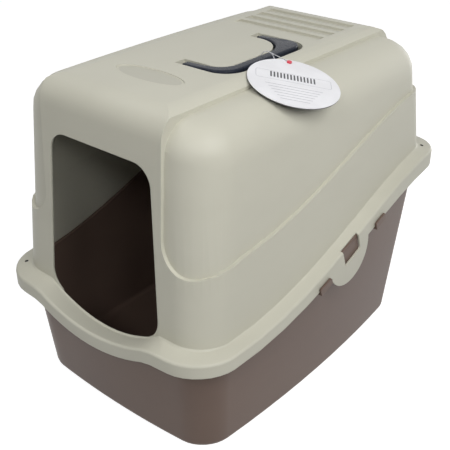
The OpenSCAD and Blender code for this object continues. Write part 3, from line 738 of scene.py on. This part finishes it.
@dataclass(frozen=True)
class HoodMoulding(Moulding):
    """The hood with its roof details reworked: the handle's recess and an oval pad.

    The CAD recess and pad are filled flush with the roof, and the new ones are cut.

    Attributes:
        roof: The height of the roof.
        roof_flat: How far out the roof is flat, and past which it falls.
        roof_fall: The metres that it falls for each squared metre outwards.
        flush: How far a filling stands over the roof.
        filled: The front, rear, left and right of the CAD recess.
        filled_r: The radius of the CAD recess's corners.
        depth: The depth of the recess.
        recess: The outline of the new recess.
        pad_y: The middle of the oval pad.
        pad_half: The half lengths of the oval pad.
        old_pad: The middle, half length and half width of the CAD pad.
        pad_depth: The depth of the pad.
        pin: The X and the height of the handle's pins.
        socket_r: The radius of the sockets.
        sockets: The Y range of each socket.
        sweep: The start, peak and end along Y of the stretch where the sunk panel's edge is eased.
        sweep_z: The height of that edge there.
        sweep_drop: How far it comes down at the peak.
        sweep_band: How far above and below the edge the wall follows it.
        sweep_x: How far out the sides begin.
        backing_side: How far the block under the recess reaches past the sockets and to the left.
        backing_right: How far it reaches past the recess on the right.
        backing_floor: The thickness that it leaves under the recess.
        backing_top: How far below the roof it ends.
        plug_grow: How far the plugs of the CAD recess and pad reach into the roof round them.
        plug_foot: How far below the roof the plugs begin.
        plug_lines: How many lines bend the plug where the roof falls.
        corner_steps: How many faces round a plug's corner.
        oval_steps: How many lengths make the oval.
        clear: How far over the roof the cuts begin.
    """

    roof: float = 428.4 * MM
    roof_flat: float = 76.4 * MM
    roof_fall: float = 17.6
    flush: float = 0.005 * MM
    filled: tuple[float, float, float, float] = (-95.5 * MM, 61.5 * MM, -17 * MM, 81 * MM)
    filled_r: float = 30 * MM
    depth: float = 15.5 * MM
    recess: BailOutline = BailOutline(
        -9 * MM, (51 * MM, 75.2 * MM), (-74.5 * MM, -92.5 * MM), (49.5 * MM, 67.5 * MM),
        (20 * MM, 30 * MM), (44 * MM, 28 * MM),
    )
    pad_y: float = -142.5 * MM
    pad_half: Pair = (51.2 * MM, 17.5 * MM)
    old_pad: tuple[float, float, float] = (-146 * MM, 50.5 * MM, 15.5 * MM)
    pad_depth: float = 1 * MM
    pin: Pair = (4 * MM, 421.4 * MM)
    socket_r: float = 2.86 * MM
    sockets: tuple[Pair, ...] = ((-97.5 * MM, -92 * MM), (67 * MM, 72.5 * MM))
    sweep: tuple[float, float, float] = (-206 * MM, -193.5 * MM, -165 * MM)
    sweep_z: float = 260 * MM
    sweep_drop: float = 4.2 * MM
    sweep_band: float = 34 * MM
    sweep_x: float = 136 * MM
    backing_side: float = 2 * MM
    backing_right: float = 1 * MM
    backing_floor: float = 2.6 * MM
    backing_top: float = 1.25 * MM
    plug_grow: float = 0.3 * MM
    plug_foot: float = 1.8 * MM
    plug_lines: int = 5
    corner_steps: int = 14
    oval_steps: int = 96
    clear: float = 4 * MM

    def ease_sweep(self, shape: BMesh) -> None:
        """Slides the lower edge of the sunk side panels down, so that it bends evenly."""
        start, peak, end = self.sweep
        for vert in shape.verts:
            x, y, z = vert.co
            away = abs(z - self.sweep_z) / self.sweep_band
            if abs(x) < self.sweep_x or not start < y < end or away > 1:
                continue
            share = (y - start) / (peak - start) if y < peak else (end - y) / (end - peak)
            vert.co.z -= self.sweep_drop * share * share * (3 - 2 * share) * (1 - away)

    def backing(self, shape: BMesh) -> None:
        """Adds the block under the roof that the new recess is cut from."""
        side = self.backing_side
        front, rear = self.sockets[0][0] - side, self.sockets[1][1] + side
        foot = self.roof - self.depth - self.backing_floor
        top = self.roof - self.backing_top
        left, right = self.filled[2] - side, self.filled[3] + self.backing_right
        block(shape, (left, front, foot), (right, rear, top))

    def fillings(self, shape: BMesh) -> None:
        """Adds the plugs of the CAD recess and pad, which follow the roof's fall."""
        grow = self.plug_grow
        front, rear, left, right = self.filled
        top, foot = self.roof + self.flush, self.roof - self.plug_foot
        block(shape, (left - grow, front - grow, foot), (right + grow, rear + grow, top))
        self.round_uprights(shape, lambda point: point.x > 0, self.filled_r + grow)
        for line in range(self.plug_lines):
            x = self.roof_flat + (right + grow - self.roof_flat) * line / self.plug_lines
            geometry = [*shape.verts, *shape.edges, *shape.faces]
            bmesh.ops.bisect_plane(shape, geom=geometry, plane_co=(x, 0, 0), plane_no=(1, 0, 0))
        for vert in shape.verts:
            if vert.co.z > self.roof and vert.co.x > self.roof_flat:
                vert.co.z -= self.roof_fall * (vert.co.x - self.roof_flat) ** 2
        middle, long, wide = self.old_pad
        low = (-long - grow, middle - wide - grow, foot)
        block(shape, low, (long + grow, middle + wide + grow, top))
        pad_rear = middle + wide + 2 * grow
        # a full half circle would leave an edge of no length, so the radius stays just under it
        self.round_uprights(shape, lambda point: point.y < pad_rear, wide + 0.9 * grow)

    def round_uprights(self, shape: BMesh, chosen: Callable, radius: float) -> None:
        """Rounds the upright edges whose place is chosen.

        Args:
            shape: The mesh that holds them.
            chosen: The test that an edge's middle has to pass.
            radius: The radius that they get.
        """
        uprights = [
            edge for edge in shape.edges
            if abs(edge.verts[0].co.z - edge.verts[1].co.z) > 1 * MM
            and chosen((edge.verts[0].co + edge.verts[1].co) / 2)
        ]
        bmesh.ops.bevel(
            shape, geom=uprights, offset=radius, offset_type="OFFSET", segments=self.corner_steps,
            profile=0.5, affect="EDGES", material=-1, clamp_overlap=True,
        )

    def cuts(self, shape: BMesh) -> None:
        """Adds the solids of the new recess and the oval pad."""
        self.recess.prism(shape, self.roof - self.depth, self.roof + self.clear)
        place = Matrix.Translation((0, self.pad_y, self.roof - self.pad_depth))
        place = place @ Matrix.Diagonal((*self.pad_half, 1, 1))
        oval = bmesh.ops.create_circle(
            shape, cap_ends=True, radius=1, segments=self.oval_steps, matrix=place
        )
        face = oval["verts"][0].link_faces[0]
        thicken(shape, [face], Vector((0, 0, self.clear + self.pad_depth)))

    def socket_cuts(self, shape: BMesh) -> None:
        """Adds the solids of the two round sockets for the handle's pins."""
        for front, rear in self.sockets:
            add_pin(shape, self.pin, front, rear, self.socket_r)

    def joined(self) -> BMesh:
        """Copies the node's mesh, fills the CAD recess and pad and cuts the new ones."""
        work = new_object("hood_work", super().joined())
        steps = (
            (self.backing, "UNION"), (self.fillings, "UNION"),
            (self.cuts, "DIFFERENCE"), (self.socket_cuts, "DIFFERENCE"),
        )
        tools = []
        for make, operation in steps:
            solid = bmesh.new()
            make(solid)
            tool = new_object("hood_tool", solid)
            change = work.modifiers.new("roof_work", "BOOLEAN")
            change.operation, change.solver, change.object = operation, "EXACT", tool
            tools.append(tool)
        ready = work.evaluated_get(bpy.context.evaluated_depsgraph_get())
        shape = bmesh.new()
        shape.from_mesh(ready.to_mesh())
        ready.to_mesh_clear()
        self.ease_sweep(shape)
        for used in (*tools, work):
            mesh = used.data
            bpy.data.objects.remove(used)
            bpy.data.meshes.remove(mesh)
        return shape


@dataclass(frozen=True)
class DoorCorner:
    """The rounded web in one lower corner of the doorway.

    Attributes:
        side: 1 on the right and -1 on the left.
        corner_x: How far out the corner lies.
        corner_z: The corner's height.
        radius: The radius of the web's free edge.
        rise: The slope of the sill's edge at the corner.
        lean: How far the door's side leans in for each length of its height.
        bury: How far the web reaches into the wall round it.
        thick: The thickness of the web.
        inset: How far behind the wall's outside it lies.
        tail: How far it runs on along the opening's edges past its arc.
        steps: How many lengths make its arc.
        search: How far outwards and upwards the wall's face is looked for.
    """

    side: int
    corner_x: float = 93.0 * MM
    corner_z: float = 163.8 * MM
    radius: float = 30.0 * MM
    rise: float = 0.56
    lean: float = 0.065
    bury: float = 1.6 * MM
    thick: float = 2.4 * MM
    inset: float = 0.04 * MM
    tail: float = 3 * MM
    steps: int = 10
    search: Pair = (30 * MM, 70 * MM)

    def wall(self) -> tuple[Vector, Vector]:
        """Finds the outside of the front wall beside the corner.

        Returns:
            A point of it and its outward direction.
        """
        near = [
            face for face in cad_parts["hood"].data.polygons
            if face.normal.y < -0.9
            and 0 < self.side * face.center.x - self.corner_x < self.search[0]
            and 0 < face.center.z - self.corner_z < self.search[1]
        ]
        outer = min(near, key=lambda face: face.center.y)
        return outer.center.copy(), outer.normal.normalized()

    def outline(self) -> list[Vector]:
        """Works out the web's outline on the right, as X and height.

        Returns:
            The corner in the wall and then the hollow arc between the web's two tails.
        """
        up = Vector((-self.lean, 1)).normalized()
        inward = Vector((-1, -self.rise)).normalized()
        corner = Vector((self.corner_x, self.corner_z))
        opening = up.angle(inward)
        reach = self.radius / math.tan(opening / 2)
        centre = corner + (up + inward).normalized() * (self.radius / math.sin(opening / 2))
        start = (corner + up * reach - centre).normalized()
        end = (corner + inward * reach - centre).normalized()
        shares = [step / self.steps for step in range(self.steps + 1)]
        arc = [centre + start.slerp(end, share) * self.radius for share in shares]
        out = Vector((-inward.y, inward.x))
        out = out if out.y < 0 else -out
        away = Vector((up.y, -up.x))
        root = corner + (out + away) * self.bury
        first = arc[0] + up * self.tail + away * self.bury
        last = arc[-1] + inward * self.tail + out * self.bury
        return [root, first, *arc, last]

    def build(self, material: Material) -> Object:
        """Makes the web: its outline, extruded to the wall's thickness.

        Args:
            material: The hood's finish.

        Returns:
            The web.
        """
        point, facing = self.wall()
        shape = bmesh.new()
        verts = []
        for x, z in self.outline():
            x *= self.side
            y = point.y - (facing.x * (x - point.x) + facing.z * (z - point.z)) / facing.y
            verts.append(shape.verts.new((x, y + self.inset, z)))
        thicken(shape, [shape.faces.new(verts)], -facing * self.thick)
        piece = new_object(f"door_corner_{'right' if self.side > 0 else 'left'}", shape)
        piece.data.materials.append(material)
        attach(piece, "hood")
        return piece


@dataclass(frozen=True)
class LitterBox:
    """The pan and the hood over it.

    Attributes:
        pan: The pan.
        hood: The hood.
        ears: The middle of each small hole in the rim's ears.
        hole_half: The half lengths of the painted shade in such a hole.
        hole_height: The height of that zone's middle.
        pad_reach: How far above and below the pad's edge its darker tone goes.
        grooves_y: The middle of the roof's grooves.
        grooves_half: The half lengths of the zone of painted shade inside them.
        grooves_below: How far below the roof that zone begins.
    """

    pan: Moulding = Moulding("pan", "pan_shell", "pan", Slot.PAN)
    hood: HoodMoulding = HoodMoulding("hood", "hood_shell", "hood", Slot.HOOD)
    ears: tuple[Pair, ...] = ((-156 * MM, -232 * MM), (162 * MM, 232 * MM))
    hole_half: Point = (2.6 * MM, 2.6 * MM, 1000 * MM)
    hole_height: float = 200 * MM
    pad_reach: float = 3 * MM
    grooves_y: float = 150 * MM
    grooves_half: Point = (72 * MM, 50 * MM, 10 * MM)
    grooves_below: float = 0.3 * MM

    def hole_shade(self) -> tuple[Patch, ...]:
        """Gives the near-black painted shade inside each ear's hole."""
        # painted shade: a near-black column through each hole darkens its walls and the pan's lip
        # beneath
        return tuple(
            Patch((x, y, self.hole_height), self.hole_half, tone=0.04, soft=0.06)
            for x, y in self.ears
        )

    def roof_tone_and_shade(self) -> tuple[Patch, ...]:
        """Gives the oval pad's darker tone and the painted shade inside the grooves."""
        roof, pad_half = self.hood.roof, (*self.hood.pad_half, self.pad_reach)
        depth = roof - self.grooves_below - self.grooves_half[2]
        # painted shade: everything below the roof in the grooves' zone is darkened
        grooves = Patch((0, self.grooves_y, depth), self.grooves_half, 0.88, 0.02, boxed=True)
        return Patch((0, self.hood.pad_y, roof), pad_half, 0.86), grooves

    def build(self) -> list[Object]:
        """Builds both shells and the doorway's rounded corners."""
        brown = MouldedPlastic(
            "taupe_polypropylene", linear(114, 96, 86), linear(109, 91, 82),
            # the pan's lip under each ear's hole gets the same painted shade
            roughness=0.4, specular=0.2, patches=self.hole_shade(),
        ).build()
        cream = MouldedPlastic(
            "cream_polypropylene", linear(203, 201, 186), linear(199, 197, 182),
            # the hood gets the painted shade inside the ears' openings and the grooves, and the
            # pad's darker tone
            roughness=0.46, patches=self.hole_shade() + self.roof_tone_and_shade(),
        ).build()
        webs = [DoorCorner(side).build(cream) for side in (1, -1)]
        return [self.pan.build(brown), self.hood.build(cream), *webs]


@dataclass(frozen=True)
class BailMoulding(Moulding):
    """The bail handle, with its broad rear corner, rounded edges, dipped arms and pins.

    Attributes:
        outline: The handle's outline.
        top: The height of its top.
        thick: Its thickness.
        edge_r: The radius of its edges.
        pin: The X and the height of its pins.
        pin_r: The radius of its pins.
        pin_out: How far a pin stands out of its arm.
        pin_in: How far a pin reaches into its arm.
        dip_length: The length over which an arm dips.
        dip: How far it dips.
        hard: The angle above which an edge of the outline is rounded, in degrees.
        edge_steps: How many faces round an edge.
    """

    outline: BailOutline = BailOutline(
        -1 * MM, (54 * MM, 67.5 * MM), (-77.5 * MM, -89.5 * MM), (52.5 * MM, 64.5 * MM),
        (23 * MM, 26 * MM), (47 * MM, 22 * MM),
    )
    top: float = 429.9 * MM
    thick: float = 9.5 * MM
    edge_r: float = 2.6 * MM
    pin: Pair = (4 * MM, 421.4 * MM)
    pin_r: float = 2.8 * MM
    pin_out: float = 6 * MM
    pin_in: float = 1 * MM
    dip_length: float = 45 * MM
    dip: float = 1.8 * MM
    hard: float = 60.0
    edge_steps: int = 4

    def joined(self) -> BMesh:
        """Makes the bail: an extruded outline with rounded edges, bent down to its pins."""
        shape = bmesh.new()
        self.outline.prism(shape, self.top - self.thick, self.top)
        limit = math.radians(self.hard)
        rims = [edge for edge in shape.edges if edge.calc_face_angle() > limit]
        bmesh.ops.bevel(
            shape, geom=rims, offset=self.edge_r, offset_type="OFFSET", segments=self.edge_steps,
            profile=0.5, affect="EDGES", material=-1, clamp_overlap=False,
        )
        for vert in shape.verts:
            share = min(max((vert.co.x - self.pin[0]) / self.dip_length, 0.0), 1.0)
            vert.co.z -= self.dip * (1 - share * share * (3 - 2 * share))
        for y, side in ((self.outline.front[1], -1), (self.outline.rear[1], 1)):
            ends = sorted((y - side * self.pin_in, y + side * self.pin_out))
            add_pin(shape, self.pin, *ends, self.pin_r)
        return shape


@dataclass(frozen=True)
class CarryHandle:
    """The bail handle in the roof's recess.

    Attributes:
        grip: The bail.
    """

    grip: Moulding = BailMoulding("carry_handle", "handle_bail", "handle", Slot.HANDLE, 40.0)

    def build(self) -> list[Object]:
        """Builds the handle."""
        slate = PittedGloss("slate_gloss", linear(38, 42, 52), linear(60, 65, 76))
        return [self.grip.build(slate.build())]


@dataclass(frozen=True)
class HangTag:
    """The round card, its dark leaf and the thread that holds them.

    Attributes:
        hole_angle: The direction of the hole from the card's middle, in degrees.
        print_angle: The direction of the print's top, in degrees.
        button_away: The distance of the button from the card's middle.
        button_rise: The distance of the button from the card's face.
        card: The round card.
        leaf: The dark leaf behind it.
        loop: The thread and its button.
    """

    hole_angle: float = 134.0
    print_angle: float = 129.0
    button_away: float = 47.2 * MM
    button_rise: float = 1.4 * MM
    card: Moulding = Moulding("hang_tag", "tag_card", "tag", Slot.CARD)
    leaf: Moulding = Moulding("tag_leaf", "tag_back_leaf", "tag", Slot.LEAF)
    loop: Moulding = Moulding("tag_loop", "tag_thread", "tag", Slot.NYLON)

    def layout(self, angle: float) -> PrintLayout:
        """Works out the card's own directions from its mesh.

        Args:
            angle: The direction that counts as up, in degrees.

        Returns:
            The layout of a print that is upright in that direction.
        """
        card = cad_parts[self.card.node].data
        widest = max(card.polygons, key=lambda face: face.area * (face.normal.z > 0))
        facing = widest.normal.normalized()
        low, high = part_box(self.card.node)
        middle = (low + high) / 2
        side = Vector((0, 1, 0)).cross(facing).normalized()
        rear = facing.cross(side)
        turn = math.radians(angle)
        upright = side * math.cos(turn) + rear * math.sin(turn)
        centre = middle + facing * (widest.center - middle).dot(facing)
        return PrintLayout(centre, upright.cross(facing), upright, facing)

    def build(self) -> list[Object]:
        """Builds the card, the leaf and the thread."""
        layout = self.layout(self.print_angle)
        hole = self.layout(self.hole_angle)
        button = hole.centre + hole.upright * self.button_away + hole.facing * self.button_rise
        white = Card("coated_card", linear(240, 240, 243)).build(layout)
        dark = Card("dark_card", linear(50, 50, 54)).build()
        nylon = ClearNylon("clear_nylon", button).build()
        return [self.card.build(white), self.leaf.build(dark), self.loop.build(nylon)]


# ---- Studio ----


@dataclass(frozen=True)
class Softbox:
    """One large square lamp that looks at the object.

    Attributes:
        name: The lamp's name.
        place: Where it hangs, in metres.
        side: The length of its side, in metres.
        watts: Its power.
        target: The place that it looks at, in metres.
    """

    name: str
    place: Point
    side: float
    watts: float
    target: Point = (0.0, 0.0, 0.2)

    def build(self) -> None:
        """Makes the lamp and turns it to the object."""
        lamp = bpy.data.lights.new(self.name, "AREA")
        lamp.size = self.side
        lamp.energy = self.watts
        holder = bpy.data.objects.new(self.name, lamp)
        holder.location = self.place
        aim = Vector(self.target) - Vector(self.place)
        holder.rotation_euler = aim.to_track_quat("-Z", "Y").to_euler()
        bpy.context.scene.collection.objects.link(holder)


@dataclass(frozen=True)
class Studio:
    """White floor and surroundings, soft lamps and the camera.

    Attributes:
        camera_place: Where the camera stands, in metres.
        camera_turn: Its turn about the vertical, from facing the rear, in degrees.
        camera_dip: How far it looks down, in degrees.
        camera_roll: Its roll, in degrees.
        lens: Its focal length, in millimetres.
        sensor: The width of its sensor, in millimetres.
        clip: The nearest and the furthest that it sees, in metres.
        ambient: The strength of the surroundings' light.
        floor_half: Half the side of the floor, in metres.
        floor_glow: How far the floor is white where it is seen.
        floor_tones: The floor's darkest and palest tone.
        floor_mottle: The size of the patches of those tones, in metres.
        lamps: The soft lamps.
    """

    camera_place: Point = (0.626759, -0.755984, 0.725504)
    camera_turn: float = 40.0445
    camera_dip: float = 29.3746
    camera_roll: float = 0.0579
    lens: float = 64.457
    sensor: float = 36.0
    clip: Pair = (0.05, 50.0)
    ambient: float = 0.1
    floor_half: float = 6.0
    floor_glow: float = 0.9
    floor_tones: Pair = (0.44, 0.47)
    floor_mottle: float = 0.2
    lamps: tuple[Softbox, ...] = (
        Softbox("key", (1.0, -0.25, 1.2), 0.8, 9.6),
        Softbox("front", (0.7, -1.56, 1.59), 0.35, 6.4),
        Softbox("front_right", (1.54, -1.17, 1.25), 0.35, 4.8),
        Softbox("front_low", (0.3, -1.9, 0.9), 0.8, 1.6),
        Softbox("top_left", (-0.6, -0.5, 1.7), 0.8, 5.6),
        Softbox("rear", (0.35, 1.9, 0.5), 1.0, 8.0),
    )

    def camera(self) -> None:
        """Makes the camera."""
        data = bpy.data.cameras.new("camera")
        data.sensor_width = self.sensor
        data.lens = self.lens
        data.clip_start, data.clip_end = self.clip
        turn = Matrix.Rotation(math.radians(self.camera_turn), 4, "Z")
        dip = Matrix.Rotation(math.radians(90 - self.camera_dip), 4, "X")
        roll = Matrix.Rotation(math.radians(self.camera_roll), 4, "Z")
        holder = bpy.data.objects.new("camera", data)
        holder.matrix_world = Matrix.Translation(self.camera_place) @ turn @ dip @ roll
        bpy.context.scene.collection.objects.link(holder)
        bpy.context.scene.camera = holder

    @staticmethod
    def seen(graph: Graph) -> Term:
        """Gives 1 for the rays of the camera, of reflections and of clear pieces."""
        rays = [
            graph.node("ShaderNodeLightPath", output=f"Is {kind} Ray")
            for kind in ("Camera", "Glossy", "Transmission")
        ]
        return 1 - (1 - rays[0]) * (1 - rays[1]) * (1 - rays[2])

    def floor(self) -> None:
        """Makes the white floor that keeps the object's shadow."""
        graph = Graph.of_material("white_floor")
        glow = graph.mix(self.seen(graph) * self.floor_glow, BLACK, WHITE)
        mottle = graph.noise(self.floor_mottle, 2.0)
        tone = graph.mix(mottle, *(shaded(WHITE, share) for share in self.floor_tones))
        more = {"Emission Color": glow, "Emission Strength": 1.0, "Specular IOR Level": 0.1}
        shader = graph.surface(tone, 0.8, more)
        shape = bmesh.new()
        bmesh.ops.create_grid(shape, x_segments=1, y_segments=1, size=self.floor_half)
        ground = new_object("floor", shape)
        ground.data.materials.append(graph.finish(shader))

    def surroundings(self) -> None:
        """Makes the world: white where it is seen, and dimmer as a light."""
        world = bpy.data.worlds.new("white_surroundings")
        bpy.context.scene.world = world
        graph = Graph(world)
        strength = self.seen(graph) * (1 - self.ambient) + self.ambient
        light = graph.node("ShaderNodeBackground", inputs={"Color": WHITE, "Strength": strength})
        graph.node("ShaderNodeOutputWorld", inputs={"Surface": light})

    def build(self) -> None:
        """Builds the whole studio."""
        self.surroundings()
        self.floor()
        for lamp in self.lamps:
            lamp.build()
        self.camera()
        bpy.context.scene.view_settings.view_transform = "Standard"
        log.info("studio: %d lamps", len(self.lamps))


def main() -> None:
    """Builds the studio and the object, sub-assembly by sub-assembly."""
    Studio().build()
    for assembly in (LitterBox(), CarryHandle(), HangTag()):
        for piece in assembly.build():
            log.info("%s dressed with %s", piece.name, piece.data.materials[0].name)


if __name__ == "__main__":
    main()
